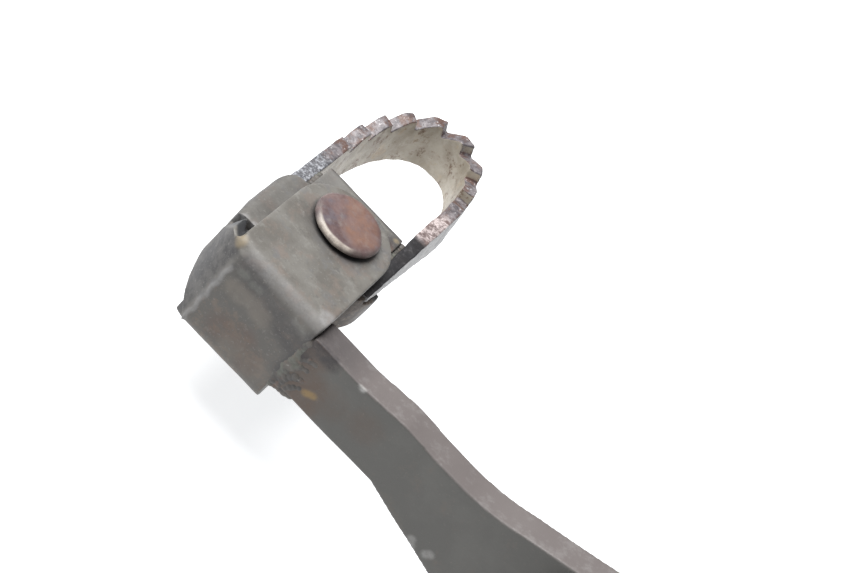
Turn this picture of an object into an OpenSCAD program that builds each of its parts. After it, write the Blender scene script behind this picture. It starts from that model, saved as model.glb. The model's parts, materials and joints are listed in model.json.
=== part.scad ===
// Rear brake pedal lever of a motorcycle, with a sprung folding toe tip.
// Millimetres. The origin is the centre of the main pivot bore.
// +X points rearwards, from the tip to the pivot, +Y points outboard and +Z points up.

/* [Lever arm] */
// Distance from the main pivot to the tip's rivet, along the lever
reach = 130; // [126:1:150]
// Thickness of the arm's steel plate
arm_t = 8; // [6:0.5:8]
// Height of the arm behind the clevis
arm_h = 16; // [14:0.5:18]
// Radius of the arm's round end about the main pivot
hub_r = 18; // [17:0.5:19]

/* [Main pivot] */
// Outer radius of the pivot tube
tube_r = 13; // [13:0.5:14]
// Length of the pivot tube
tube_len = 34; // [30:1:40]
// Outer radius of the bushes and seals
bush_or = 10; // [9.5:0.1:10.5]
// Bore radius of the bushes, which run on the frame's shaft
bush_r = 7.5; // [7:0.1:8]
// Length of each bush
bush_len = 12; // [8:1:12]
// Length of each dust seal
seal_len = 3; // [2:0.5:4]

/* [Linkage holes] */
// Radius of the hole for the push rod's clevis pin
pushrod_r = 4; // [3:0.5:5]
// Radius of the hole for the return spring's hook
spring_hole_r = 2.5; // [2:0.25:3]

/* [Clevis] */
// Thickness of the clevis and tip bracket sheet
sheet_t = 3; // [2.5:0.25:3]
// Width of the ears
ear_w = 25; // [24:0.5:26]
// Height of the clevis over both ears
clevis_h = 26.9; // [26:0.1:28]
// Distance from the rivet to the web's outer face
web_y = 28.4; // [28:0.2:30]

/* [Rivet] */
// Radius of the rivet's shank
shank_r = 5; // [4.5:0.25:5]
// Radius of the rivet's head
head_r = 8.3; // [7.8:0.1:8.6]
// Height of the rivet's head above the ear
head_h = 2.4; // [2:0.1:3]

/* [Serrated band] */
// Half of the band's outer width
band_a = 15.8; // [15.2:0.1:16.4]
// Distance from the rivet to the band's far end
band_y = 67.4; // [64:0.2:70]
// Thickness of the band's strip
band_t = 3.6; // [3.2:0.2:4]
// Height of the band's strip, with its teeth
band_h = 13.2; // [12:0.2:14]
// Lean of the band about the outboard direction, rear leg up, in degrees
band_tilt = 7.5; // [5:0.5:8]
// Number of gaps between the teeth
tooth_gaps = 8; // [6:1:9]
// Depth of the gaps between the teeth
tooth_depth = 2.8; // [2:0.2:3]

/* [Hidden] */
$fn = 64;

paint = [0.27, 0.26, 0.25];
web_paint = [0.24, 0.23, 0.22];
rust = [0.36, 0.20, 0.14];
worn = [0.55, 0.51, 0.44];
bead = [0.30, 0.25, 0.21];
zinc = [0.62, 0.61, 0.57];
bronze = [0.62, 0.47, 0.28];
rubber = [0.08, 0.08, 0.08];
spring_steel = [0.33, 0.31, 0.29];

eps = 0.01;
play = 0.05;             // clearance of a running face
snug = 0.02;             // clearance of a riveted, screwed or welded hole
cut = 60;                // size of the blocks that trim a shape

// Places of the tip's pivot: its axis is vertical, and its zero height is the upper ear's top
rivet_x = -reach;
rivet_y = web_y - arm_t / 2;
ear_top = 2;

// Arm outline, measured from the tip's pivot along the lever and down from the ear's top
ear_r = ear_w / 2;
arm_start = ear_r;       // the arm butts against the clevis
arm_top = -3.1;
arm_bottom = arm_top - arm_h;
hump_x = [26, 38, 46];   // a slight hump of the top edge
hump_z = [-0.1, 1, 0.5];
rise_x = 53.5;            // the top edge starts to rise here
rise_r = 51;             // on this radius
rise_end = 18;           // up to this slope
shoulder_r = 30;         // and turns over on this radius to meet the hub
flare_x = [41, 63];      // the bottom edge falls between these places
flare_z = [0, -6.2];
belly_x = 92;            // rounded lowest place of the bottom edge
belly_z = -19;
belly_r = 10;
hub_z = -ear_top;

// Push rod lever on the inboard end of the pivot tube
rod_x = 4;
rod_z = 38;
rod_end_r = 9;
rod_t = 6;
rod_y = -15;             // inboard face

// Clevis details
bend_ro = 4;             // outer bend radius
bend_ri = bend_ro - sheet_t;
web_left = -9.7;
ear_back = -25.4;        // the ears' left edges end here and turn in to the web
ear_mid = -0.9;          // centre of the ears' round ends
flange_r = 14;           // outer radius of the stop flange
flange_from = 155;       // direction of the flange at the web
flange_to = 105;         // direction of the flange at its free end
flange_top = -sheet_t + 1;
flange_slant = [[-15, -1.8], [-17.5, -7.8]];   // the flange's upper edge falls to its free end
lid_r = 2.2;             // radius where the ear rolls over into the flange
lid_edge = [[-11.2, -25.2], [-12.6, -25.4], [-15.2, -25.8], [-19, -26.2]];
// Lower edge of the flange, from the web to its free end
flange_edge = [[web_left, -25.6], [-11.8, -23.2], [-13.7, -21.5], [-15.3, -19.3], [-18.3, -13]];

// Tip bracket details
plate_top = -sheet_t - 1;
plate_low = plate_top - sheet_t;
front_y = 17.6;
wing_x = -18.2;          // outer face of the wing's wall
wing_front = 7.3;
wing_back = -16;         // the wing's top ends here
wing_stop = -18.7;       // and its wall reaches further, up to the stop flange
wing_low = -21;
wing_back_low = -17;     // lower edge of the wall near the stop flange
wing_taper = [-8, 1.2];  // the wall is thinned behind this place, by this much at its end
skirt_r = 15.3;          // radius of the rounded rear corner
skirt_low = -15;
skirt_y = 2.5;           // the rear corner's wall ends here
skirt_gap = 0.4;         // between it and the band's right leg
wing_corner = 5;
cheek_t = 2;
cheek_left = -12.4;
cheek_right = 10.1;
fold_r = 3;              // outer radius of the wing's rolled edge
coil_room = 10.4;        // radius that is kept free for the spring

// Serrated band
band_x = -1.3;           // middle of the band at its top edge
band_top = -5.6;
band_straight = 34;      // the legs are straight up to here
band_n = [2.05, 2.5];    // exponents of the rounded end, left and right
leg_left = 8.8;          // the left leg starts here
leg_right = -5.8;        // the right leg starts here, thinner and shallower than the strip
leg_thin = 1.1;
leg_end_h = 1.8;
leg_taper_y = [24, 45];  // full thickness and full height from these places on
band_turn = -0.8;        // turn of the band in plan, about the place below
band_turn_y = 25;
tooth_first = 23.6;      // distance of the first gap from the left leg's end, along the band
tooth_pitch = 8.85;
tooth_shift = [0, 0, 0, 0, -0.4, -1.8, -1.4, -0.9, -0.6, -0.4];   // the teeth are a little uneven
tooth_tip = 1.1;         // half length of a tooth's crest

// Pivot of the tip
sleeve_r = 7;
sleeve_bore = shank_r + play;
washer_t = 0.9;
washer_r = 9.5;
lower_washer_r = 9;
rivet_washer_r = 9;
rivet_washer_t = 1.5;
gap_low = -clevis_h + sheet_t;   // top face of the lower ear

// Torsion spring
wire_r = 1.2;
coil_r = 8.7;
coil_turns = 3;
coil_pitch = 2.8;
coil_low = -18.6;
leg_back = -24.2;        // end of the lower leg, inside the stop flange
leg_front = 12.5;        // end of the upper leg, against the bracket's cheek
coil_sides = 8;
coil_steps = 20;         // rings in each turn
coil_top = coil_low + coil_pitch * coil_turns;

// Fasteners
bolt_r = 3;
hex_r = 10 / sqrt(3);    // corner radius of a hexagon 10 mm across its flats
stop_x = -42;
stop_y = -10;
stop_lug_z = [-9, 3];
stop_lug_w = 12;
bolt_z = [-19, 11];
bolt_head_h = 4;
nut_h = 4;

// Return spring tab
tab_x = -40;
tab_z = -34;
tab_t = 3;
tab_r = 6;

// ---------------------------------------------------------------- helpers

module at_tip_pivot() {
    translate([rivet_x, rivet_y, ear_top]) children();
}

module ring(r_out, r_in, h) {
    difference() {
        cylinder(r = r_out, h = h);
        translate([0, 0, -eps]) cylinder(r = r_in, h = h + 2 * eps);
    }
}

// A shape drawn in X and Z, made into a plate centred on the arm's middle plane
module upright_plate(t) {
    rotate([90, 0, 0]) translate([0, 0, -t / 2]) linear_extrude(t) children();
}

// A straight bead with round ends between two points
module bead_line(a, b, r) {
    d = b - a;
    len_ab = norm(d);
    translate(a)
        rotate([0, acos(d[2] / len_ab), atan2(d[1], d[0])])
            cylinder(r = r, h = len_ab, $fn = 24);
    translate(a) sphere(r, $fn = 24);
    translate(b) sphere(r, $fn = 24);
}

function arc_points(c, r, a0, a1, n) =
    [for (i = [0:n]) let (a = a0 + (a1 - a0) * i / n) [c[0] + r * cos(a), c[1] + r * sin(a)]];

// Slope of the line that touches two circles on their upper or lower side
function slope_over(c1, r1, c2, r2) =
    atan2(c2[1] - c1[1], c2[0] - c1[0]) - asin((r1 - r2) / norm(c2 - c1));
function slope_under(c1, r1, c2, r2) =
    atan2(c2[1] - c1[1], c2[0] - c1[0]) + asin((r1 - r2) / norm(c2 - c1));

// ---------------------------------------------------------------- lever arm

// The top edge rises on one arc and turns over on another, and a line that touches it meets the hub.
// Another line that touches the hub and the belly closes the outline below.
module arm_outline() {
    hub_c = [reach, hub_z];
    rise_c = [rise_x, arm_top + hump_z[2] + rise_r];
    shoulder_c = rise_c + (rise_r + shoulder_r) * [sin(rise_end), -cos(rise_end)];
    belly_c = [belly_x, belly_z];
    flare_end = [flare_x[1], arm_bottom + flare_z[1]];
    top_slope = slope_over(shoulder_c, shoulder_r, hub_c, hub_r);
    belly_slope = slope_under(belly_c, belly_r, hub_c, hub_r);
    flare_slope = slope_under(flare_end, 0, belly_c, belly_r);
    polygon(concat(
        [[arm_start, arm_bottom], [arm_start, arm_top]],
        [for (i = [0:2]) [hump_x[i], arm_top + hump_z[i]]],
        arc_points(rise_c, rise_r, -90, rise_end - 90, 12),
        arc_points(shoulder_c, shoulder_r, rise_end + 90, top_slope + 90, 8),
        arc_points(hub_c, hub_r, top_slope + 90, belly_slope - 90, 24),
        arc_points(belly_c, belly_r, belly_slope - 90, flare_slope - 90, 6),
        [flare_end, [flare_x[0], arm_bottom + flare_z[0]]]
    ));
}

module lever_arm() {
    color(paint)
    upright_plate(arm_t)
    translate([rivet_x, ear_top])
    difference() {
        arm_outline();
        translate([reach, hub_z]) circle(tube_r + snug);
    }
}

// ---------------------------------------------------------------- main pivot

module along_pivot(y0) {
    translate([0, y0, 0]) rotate([-90, 0, 0]) children();
}

module pivot_tube() {
    color(paint) along_pivot(-tube_len / 2) ring(tube_r, bush_or, tube_len);
}

// Fillet bead around the tube, on a plate's face at y0
module tube_weld(y0, size) {
    color(bead)
    translate([0, y0, 0])
    rotate([y0 > 0 ? -90 : 90, 0, 0])
    rotate_extrude()
    polygon([[tube_r, 0], [tube_r + size, 0], [tube_r + size * 0.55, size * 0.55], [tube_r, size]]);
}

module tube_weld_outboard() {
    tube_weld(arm_t / 2, 3);
}

module tube_weld_inboard() {
    tube_weld(-arm_t / 2, 3);
}

module bush(y0) {
    color(bronze) along_pivot(y0) ring(bush_or, bush_r, bush_len);
}

module bush_outboard() {
    bush(tube_len / 2 - seal_len - bush_len);
}

module bush_inboard() {
    bush(seal_len - tube_len / 2);
}

// The seal's ring is pressed in the tube and its lip is a little clear of the shaft
module seal(y0) {
    lip_gap = 0.2;
    color(rubber) along_pivot(y0) ring(bush_or, bush_r + lip_gap, seal_len);
}

module seal_outboard() {
    seal(tube_len / 2 - seal_len);
}

module seal_inboard() {
    seal(-tube_len / 2);
}

// ---------------------------------------------------------------- push rod lever

module pushrod_lever() {
    rod_c = [rod_x, rod_z];
    left = slope_over([0, 0], hub_r, rod_c, rod_end_r);
    right = slope_under([0, 0], hub_r, rod_c, rod_end_r);
    color(paint)
    translate([0, rod_y + rod_t / 2, 0])
    upright_plate(rod_t)
    difference() {
        polygon(concat(
            arc_points(rod_c, rod_end_r, right - 90, left + 90, 16),
            arc_points([0, 0], hub_r, left + 90, right + 270, 32)
        ));
        circle(tube_r + snug);
        translate(rod_c) circle(pushrod_r);
    }
}

module pushrod_lever_weld() {
    tube_weld(rod_y, 1.8);
}

// ---------------------------------------------------------------- return spring tab

module spring_tab() {
    tab_up = 13;
    color(paint)
    upright_plate(tab_t)
    difference() {
        union() {
            translate([tab_x, tab_z]) circle(tab_r);
            translate([tab_x - tab_r, tab_z]) square([2 * tab_r, tab_up]);
        }
        translate([tab_x, tab_z]) circle(spring_hole_r);
        translate([rivet_x, ear_top]) arm_outline();
    }
}

// One bead on each face, along the arm's lower edge
module spring_tab_weld() {
    bead_r = 1.4;
    bead_z = ear_top + belly_z - belly_r + 0.4;
    color(bead)
    for (side = [-1, 1])
        bead_line([tab_x - tab_r + bead_r, side * tab_t / 2, bead_z],
                  [tab_x + tab_r - bead_r, side * tab_t / 2, bead_z], bead_r);
}

// ---------------------------------------------------------------- height stop

module stop_lug() {
    lug_h = stop_lug_z[1] - stop_lug_z[0];
    color(paint)
    difference() {
        translate([stop_x - stop_lug_w / 2, stop_y - stop_lug_w / 2, stop_lug_z[0]])
            cube([stop_lug_w, -arm_t / 2 - stop_y + stop_lug_w / 2, lug_h]);
        translate([stop_x, stop_y, stop_lug_z[0] - eps])
            cylinder(r = bolt_r + snug, h = lug_h + 2 * eps);
    }
}

// Beads along the lug's two upright corners on the arm's face
module stop_lug_weld() {
    bead_r = 1.5;
    color(bead)
    for (side = [-1, 1])
        bead_line([stop_x + side * stop_lug_w / 2, -arm_t / 2, stop_lug_z[0] + bead_r],
                  [stop_x + side * stop_lug_w / 2, -arm_t / 2, stop_lug_z[1] - bead_r], bead_r);
}

module stop_bolt() {
    chamfer = 0.6;
    color(zinc)
    translate([stop_x, stop_y, bolt_z[0]]) {
        cylinder(r = hex_r, h = bolt_head_h, $fn = 6);
        cylinder(r = bolt_r, h = bolt_z[1] - bolt_z[0] - chamfer);
        translate([0, 0, bolt_z[1] - bolt_z[0] - chamfer])
            cylinder(r1 = bolt_r, r2 = bolt_r - chamfer, h = chamfer);
    }
}

module stop_locknut() {
    color(zinc)
    translate([stop_x, stop_y, stop_lug_z[0] - nut_h])
    difference() {
        cylinder(r = hex_r, h = nut_h, $fn = 6);
        translate([0, 0, -eps]) cylinder(r = bolt_r + snug, h = nut_h + 2 * eps);
    }
}

// ---------------------------------------------------------------- clevis

module rounded_channel(y0, y1, h, r) {
    translate([y0 + r, -h + r]) circle(r);
    translate([y0 + r, -r]) circle(r);
    translate([y0, -h + r]) square([r, h - 2 * r]);
    translate([y0 + r, -h]) square([y1 - y0 - r, h]);
}

// Section of the folded sheet: Y across the page and Z up
module channel_section() {
    difference() {
        rounded_channel(-web_y, ear_r, clevis_h, bend_ro);
        translate([0, -sheet_t])
            rounded_channel(-web_y + sheet_t, ear_r + eps, clevis_h - 2 * sheet_t, bend_ri);
    }
}

module ear_plan() {
    translate([0, ear_mid]) circle(ear_r);
    polygon([
        [-ear_r, ear_mid], [-ear_r, ear_back], [web_left, -web_y + 1], [web_left, -web_y - eps],
        [ear_r - 0.4, -web_y - eps], [ear_r, -web_y + 2], [ear_r, ear_mid]
    ]);
}

function flange_centre() =
    [web_left + flange_r * sin(flange_from), -web_y - flange_r * cos(flange_from)];

// Curved wall from the web's edge, which stops the tip's wing
module stop_flange() {
    a0 = flange_from + 90;
    a1 = flange_to + 90;
    c = flange_centre();
    reach_out = 2 * flange_r;
    z_low = min([for (p = flange_edge) p[1]]);
    difference() {
        translate([0, 0, z_low])
        linear_extrude(flange_top - z_low)
        intersection() {
            translate(c) difference() {
                circle(flange_r);
                circle(flange_r - sheet_t);
            }
            polygon(concat([c], [for (a = [a0, (a0 + a1) / 2, a1]) c + reach_out * [cos(a), sin(a)]]));
        }
        // the lower edge rises towards the free end, and the upper edge falls
        translate([0, cut / 2, 0])
        rotate([90, 0, 0])
        linear_extrude(2 * cut) {
            polygon(concat(flange_edge, [[-cut, flange_edge[4][1]], [-cut, -cut], [web_left, -cut]]));
            polygon(concat(flange_slant, [[-cut, flange_slant[1][1]], [-cut, 1], [flange_slant[0][0], 1]]));
        }
    }
}

// Rounded corner where the ear rolls over into the flange
module flange_lid() {
    c = flange_centre();
    roll = [flange_r - lid_r, -lid_r];
    intersection() {
        translate(c)
        rotate_extrude()
        polygon(concat([[0, 0]], arc_points(roll, lid_r, 90, 0, 8), [[flange_r, -sheet_t], [0, -sheet_t]]));
        translate([0, 0, -sheet_t - 1])
        linear_extrude(sheet_t + 2)
        polygon(concat(lid_edge, [[lid_edge[3][0], -web_y], [lid_edge[0][0], -web_y]]));
    }
}

module clevis_bracket() {
    color(web_paint)
    at_tip_pivot()
    difference() {
        union() {
            intersection() {
                translate([-ear_r, 0, 0])
                rotate([90, 0, 90])
                linear_extrude(2 * ear_r) channel_section();
                translate([0, 0, -clevis_h]) linear_extrude(clevis_h) ear_plan();
            }
            stop_flange();
            flange_lid();
        }
        translate([0, 0, -cut]) cylinder(r = shank_r + snug, h = 2 * cut);
    }
}

// Beads where the arm's end meets the clevis's web: one nearly flush on the inboard face, one in the
// corner inside, and a lump under the arm.
module clevis_weld() {
    face_r = 1.5;
    corner_r = 1.3;
    lump_r = 1.7;
    face_y = -web_y + 1.1;
    corner = [arm_start - 0.7, -web_y + sheet_t + 0.9];
    color(bead)
    at_tip_pivot() {
        bead_line([arm_start + 0.1, face_y, arm_top - 2.1], [arm_start + 0.1, face_y, arm_bottom - 1.2], face_r);
        bead_line([corner[0], corner[1], arm_top - 3], [corner[0], corner[1], arm_bottom + 1], corner_r);
        bead_line([arm_start + 1, face_y + 0.5, arm_bottom - 0.8],
                  [arm_start + 5, face_y + 0.8, arm_bottom + 0.6], lump_r);
    }
}

// ---------------------------------------------------------------- tip pivot

module pivot_rivet() {
    neck_r = 6;
    neck_h = 0.7;
    bevel = 0.9;
    foot_z = -clevis_h - rivet_washer_t;
    foot_r = 7.6;
    foot_h = 2.4;
    color(rust)
    at_tip_pivot()
    rotate_extrude()
    polygon([
        [0, foot_z - foot_h], [foot_r - 2.6, foot_z - foot_h], [foot_r - 0.7, foot_z - foot_h + 0.8],
        [foot_r, foot_z - 0.5], [foot_r, foot_z], [shank_r, foot_z],
        [shank_r, 0], [neck_r, 0], [head_r - 0.2, neck_h], [head_r, neck_h + 0.3],
        [head_r, head_h - bevel], [head_r - bevel, head_h - 0.15], [head_r - 2 * bevel, head_h],
        [0, head_h]
    ]);
}

module flat_washer(z0, r_out, t) {
    color(zinc) at_tip_pivot() translate([0, 0, z0]) ring(r_out, shank_r + play, t);
}

module rivet_washer() {
    flat_washer(-clevis_h - rivet_washer_t, rivet_washer_r, rivet_washer_t);
}

module thrust_washer_upper() {
    flat_washer(-sheet_t - washer_t, washer_r, washer_t);
}

module thrust_washer_lower() {
    flat_washer(gap_low, lower_washer_r, washer_t);
}

module pivot_sleeve() {
    low = gap_low + washer_t + play;
    color(zinc)
    at_tip_pivot()
    translate([0, 0, low]) ring(sleeve_r, sleeve_bore, plate_top - low);
}

module sleeve_weld() {
    size = 1;
    color(bead)
    at_tip_pivot()
    rotate_extrude()
    polygon([[sleeve_r, plate_low], [sleeve_r + size, plate_low], [sleeve_r, plate_low - size]]);
}

// Points of the spring's wire: lower leg, coil and upper leg
function spring_path() = concat(
    [[-coil_r, leg_back, coil_low], [-coil_r, leg_back / 2, coil_low]],
    [for (i = [0:coil_turns * coil_steps])
        let (a = 180 - 360 * i / coil_steps)
        [coil_r * cos(a), coil_r * sin(a), coil_low + coil_pitch * i / coil_steps]],
    [for (k = [1:2]) [-coil_r, leg_front * k / 2, coil_top]]
);

module torsion_spring() {
    path = spring_path();
    n = len(path);
    m = coil_sides;
    points = [
        for (i = [0:n - 1])
            let (
                t = path[min(i + 1, n - 1)] - path[max(i - 1, 0)],
                u = cross([0, 0, 1], t) / norm(cross([0, 0, 1], t)),
                v = cross(t, u) / norm(t)
            )
            for (k = [0:m - 1])
                path[i] + wire_r * (cos(360 * k / m) * u + sin(360 * k / m) * v)
    ];
    sides = [
        for (i = [0:n - 2], k = [0:m - 1])
            [i * m + k, (i + 1) * m + k, (i + 1) * m + (k + 1) % m, i * m + (k + 1) % m]
    ];
    ends = [[for (k = [0:m - 1]) k], [for (k = [m - 1:-1:0]) (n - 1) * m + k]];
    color(spring_steel) at_tip_pivot() polyhedron(points, concat(sides, ends), convexity = 6);
}

// ---------------------------------------------------------------- tip bracket

// Plan of the bracket: front plate, wing with its rounded corner, and the round rear corner
module bracket_plan() {
    translate([cheek_left, 0]) square([cheek_right - cheek_left, front_y]);
    translate([wing_x, wing_back]) square([-wing_x, wing_front - wing_corner - wing_back]);
    translate([wing_x + wing_corner, 0]) square([-wing_x - wing_corner, wing_front]);
    translate([wing_x + wing_corner, wing_front - wing_corner]) circle(wing_corner);
    intersection() {
        circle(skirt_r);
        translate([0, -cut]) square([cut, cut + skirt_y]);
    }
}

// Plan of the hollow under the plate, which is open at the front and the back
module hollow_plan() {
    half = cut / 2;
    translate([wing_x + sheet_t, -half]) square([-wing_x - sheet_t, half + wing_front - sheet_t]);
    translate([cheek_left + cheek_t, -2]) square([cheek_right - cheek_left - 2 * cheek_t, half]);
    intersection() {
        circle(skirt_r - sheet_t);
        translate([-1, -half]) square([half, half]);
    }
    circle(coil_room);
}

// Corner that is taken off along the wing's edge to roll it over
module wing_edge() {
    translate([0, wing_front + 1, 0])
    rotate([90, 0, 0])
    linear_extrude(wing_front - wing_back + 2)
    difference() {
        translate([wing_x - 1, plate_top - fold_r]) square(fold_r + 1);
        translate([wing_x + fold_r, plate_top - fold_r]) circle(fold_r);
    }
}

// The wing's wall is shallower and thinner where it meets the stop flange
module wing_end() {
    translate([wing_x - 1, 0, 0])
    rotate([90, 0, 90])
    linear_extrude(sheet_t + 2)
    polygon([[-2 * cut, wing_back_low], [-9, wing_back_low], [-4, wing_low - 1], [-2 * cut, wing_low - 1]]);
    translate([0, 0, wing_low - 1])
    linear_extrude(cut)
    polygon([
        [wing_x - 1, wing_taper[0]], [wing_x, wing_taper[0]],
        [wing_x + wing_taper[1], wing_stop], [wing_x + wing_taper[1], wing_stop - 1],
        [wing_x - 1, wing_stop - 1]
    ]);
}

// Room over the rear corner for the end of the band's right leg
module leg_room() {
    side = cheek_right + 0.1;
    drop = band_top - plate_top + band_a * sin(band_tilt) - skirt_gap;
    translate([side, 0, plate_top + drop])
    rotate([90, 0, 90])
    linear_extrude(cut)
    polygon([
        [leg_right - skirt_gap, cut], [leg_right - skirt_gap, -leg_height(leg_right)],
        [cut, -leg_height(cut)], [cut, cut]
    ]);
}

module tip_bracket() {
    wall_h = plate_low - wing_low - 0.5;
    color(paint)
    at_tip_pivot()
    difference() {
        union() {
            translate([0, 0, wing_low]) linear_extrude(plate_top - wing_low) bracket_plan();
            translate([wing_x, wing_stop, wing_low]) cube([sheet_t, wing_back - wing_stop + 1, wall_h]);
        }
        translate([0, 0, wing_low - 1]) linear_extrude(plate_low - wing_low + 1) hollow_plan();
        translate([wing_x + sheet_t, -cut / 2, wing_low - 1])
            cube([cut, cut, skirt_low - wing_low + 1]);
        wing_edge();
        wing_end();
        leg_room();
        translate([0, 0, -cut]) cylinder(r = sleeve_r + snug, h = 2 * cut);
    }
}

// ---------------------------------------------------------------- serrated band

// Outline of the band's end: a rounded arch of half width a that ends at y_end
function arch(a, y_end, n) = [
    for (i = [0:n])
        let (
            t = 180 - 180 * i / n,
            c = cos(t),
            s = sin(t),
            e = 2 / (c < 0 ? band_n[0] : band_n[1])
        )
        [sign(c) * a * pow(abs(c), e), band_straight + (y_end - band_straight) * pow(abs(s), e)]
];

function strip_line(a, y_end, n) =
    concat([[-a, leg_left]], arch(a, y_end, n), [[a, leg_right]]);

function run_lengths(p) = [
    for (i = 0, s = 0; i < len(p); s = s + (i + 1 < len(p) ? norm(p[i + 1] - p[i]) : 0), i = i + 1)
        [s, p[i]]
];

function reversed(p) = [for (i = [len(p) - 1:-1:0]) p[i]];

// The right leg's height at a distance along it: the line goes on past its full height
function leg_height(y) =
    leg_end_h + (band_h - leg_end_h) * (y - leg_right) / (leg_taper_y[1] - leg_right);

// What is taken off the right leg: a wedge of its inner face and one of its lower edge
module leg_taper() {
    inner = band_a - band_t;
    translate([0, 0, -2 * band_h])
    linear_extrude(3 * band_h)
    polygon([
        [inner - 1, leg_taper_y[0]], [inner, leg_taper_y[0]],
        [inner + leg_thin, leg_right - 1], [inner - 1, leg_right - 1]
    ]);
    rotate([90, 0, 90])
    linear_extrude(cut)
    polygon([
        [leg_taper_y[1], -band_h], [leg_right - 1, -leg_height(leg_right - 1)],
        [leg_right - 1, -cut], [leg_taper_y[1], -cut]
    ]);
}

module strip_plan(n) {
    outer = strip_line(band_a, band_y, n);
    inner = strip_line(band_a - band_t, band_y - band_t, n);
    polygon(concat(outer, reversed(inner)));
}

// The gap between two teeth falls steeply behind one crest and climbs to the next
module tooth_gap(pitch) {
    steep = 0.9;
    rotate([90, 0, 0])
    translate([0, 0, -2 * band_t])
    linear_extrude(4 * band_t)
    polygon([
        [tooth_tip, 1], [tooth_tip, 0], [tooth_tip + steep, -tooth_depth],
        [pitch - tooth_tip, 0], [pitch - tooth_tip, 1]
    ]);
}

module serrated_band() {
    line = strip_line(band_a - band_t / 2, band_y - band_t / 2, 48);
    runs = run_lengths(line);
    xs = [for (r = runs) [r[0], r[1][0]]];
    ys = [for (r = runs) [r[0], r[1][1]]];
    color(worn)
    at_tip_pivot()
    translate([band_x, band_turn_y, band_top])
    rotate([0, -band_tilt, band_turn])
    translate([0, -band_turn_y, 0])
    difference() {
        translate([0, 0, -band_h]) linear_extrude(band_h) strip_plan(48);
        for (i = [0:tooth_gaps - 1]) {
            s0 = tooth_first + i * tooth_pitch + tooth_shift[i];
            s1 = tooth_first + (i + 1) * tooth_pitch + tooth_shift[i + 1];
            p0 = [lookup(s0, xs), lookup(s0, ys)];
            p1 = [lookup(s1, xs), lookup(s1, ys)];
            d = p1 - p0;
            translate([p0[0], p0[1], 0]) rotate([0, 0, atan2(d[1], d[0])]) tooth_gap(s1 - s0);
        }
        leg_taper();
    }
}

// Beads between the bracket's cheeks and the band's legs
module band_weld(x, z) {
    bead_r = 1.5;
    color(bead)
    at_tip_pivot()
    bead_line([x, leg_left + bead_r, z], [x, front_y - 0.6, z], bead_r);
}

module band_weld_left() {
    band_weld(cheek_left - 0.4, plate_low - 1.3);
}

module band_weld_right() {
    band_weld(cheek_right + 0.6, plate_low + 0.9);
}

// ---------------------------------------------------------------- nodes

lever_arm();
pivot_tube();
tube_weld_outboard();
tube_weld_inboard();
bush_outboard();
bush_inboard();
seal_outboard();
seal_inboard();
pushrod_lever();
pushrod_lever_weld();
spring_tab();
spring_tab_weld();
stop_lug();
stop_lug_weld();
stop_bolt();
stop_locknut();
clevis_bracket();
clevis_weld();
pivot_rivet();
rivet_washer();
thrust_washer_upper();
thrust_washer_lower();
torsion_spring();
tip_bracket();
pivot_sleeve();
sleeve_weld();
serrated_band();
band_weld_left();
band_weld_right();
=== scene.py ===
"""Looks of the brake pedal lever: its camera, light, detailed meshes and materials."""

import json
import math

import bmesh
import bpy
import numpy as np
from mathutils import Matrix, Vector, noise


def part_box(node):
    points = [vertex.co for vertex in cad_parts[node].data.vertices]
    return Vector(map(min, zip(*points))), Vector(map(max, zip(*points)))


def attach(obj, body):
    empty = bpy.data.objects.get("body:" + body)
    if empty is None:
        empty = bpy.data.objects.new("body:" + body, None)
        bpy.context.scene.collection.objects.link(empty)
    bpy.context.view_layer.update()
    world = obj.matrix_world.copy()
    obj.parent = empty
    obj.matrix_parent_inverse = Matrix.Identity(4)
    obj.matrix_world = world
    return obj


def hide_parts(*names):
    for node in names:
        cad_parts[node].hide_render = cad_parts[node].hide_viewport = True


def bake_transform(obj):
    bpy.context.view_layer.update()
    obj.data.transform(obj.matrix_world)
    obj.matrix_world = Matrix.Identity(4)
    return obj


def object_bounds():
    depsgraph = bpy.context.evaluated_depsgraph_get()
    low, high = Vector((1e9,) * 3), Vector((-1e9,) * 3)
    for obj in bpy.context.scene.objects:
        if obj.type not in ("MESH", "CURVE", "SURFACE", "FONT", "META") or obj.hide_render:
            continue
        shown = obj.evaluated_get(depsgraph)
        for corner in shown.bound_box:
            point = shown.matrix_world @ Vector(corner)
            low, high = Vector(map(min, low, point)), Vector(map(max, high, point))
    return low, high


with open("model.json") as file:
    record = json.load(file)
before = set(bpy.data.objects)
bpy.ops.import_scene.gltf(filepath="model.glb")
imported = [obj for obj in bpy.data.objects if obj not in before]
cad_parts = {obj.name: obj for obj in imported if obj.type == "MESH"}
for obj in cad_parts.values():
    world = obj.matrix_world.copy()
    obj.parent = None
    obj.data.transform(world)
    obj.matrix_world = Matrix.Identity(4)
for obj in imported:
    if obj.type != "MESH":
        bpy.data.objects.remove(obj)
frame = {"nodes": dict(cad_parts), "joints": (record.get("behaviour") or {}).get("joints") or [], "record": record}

cad_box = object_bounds()
MM = 0.001
SEED = 7

# ------------------------------------------------------------------ places from the frame
joint = frame["joints"][0]
PIVOT = Vector(joint["pos_m"])
EAR_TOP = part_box("clevis_bracket")[1].z
BODY_OF = {node: body for body, nodes in frame["record"]["behaviour"]["bodies"].items() for node in nodes}
SLOT_OF = {part["node"]: part["material_slot"] for part in frame["record"]["subparts"]}


def tip(x, y, z):
    """A point in millimetres from the rivet's axis and the upper ear's top, in the row frame."""
    return Vector((PIVOT.x + x * MM, PIVOT.y + y * MM, EAR_TOP + z * MM))


TIP_FRAME = Matrix.Translation(tip(0, 0, 0)) @ Matrix.Scale(MM, 4)
PIVOT_FRAME = Matrix.Rotation(math.radians(-90), 4, "X") @ Matrix.Scale(MM, 4)


def tip_mm(points):
    """Row frame points, as millimetres from the rivet's axis and the upper ear's top."""
    return (points - np.array(tip(0, 0, 0))) / MM


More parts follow.
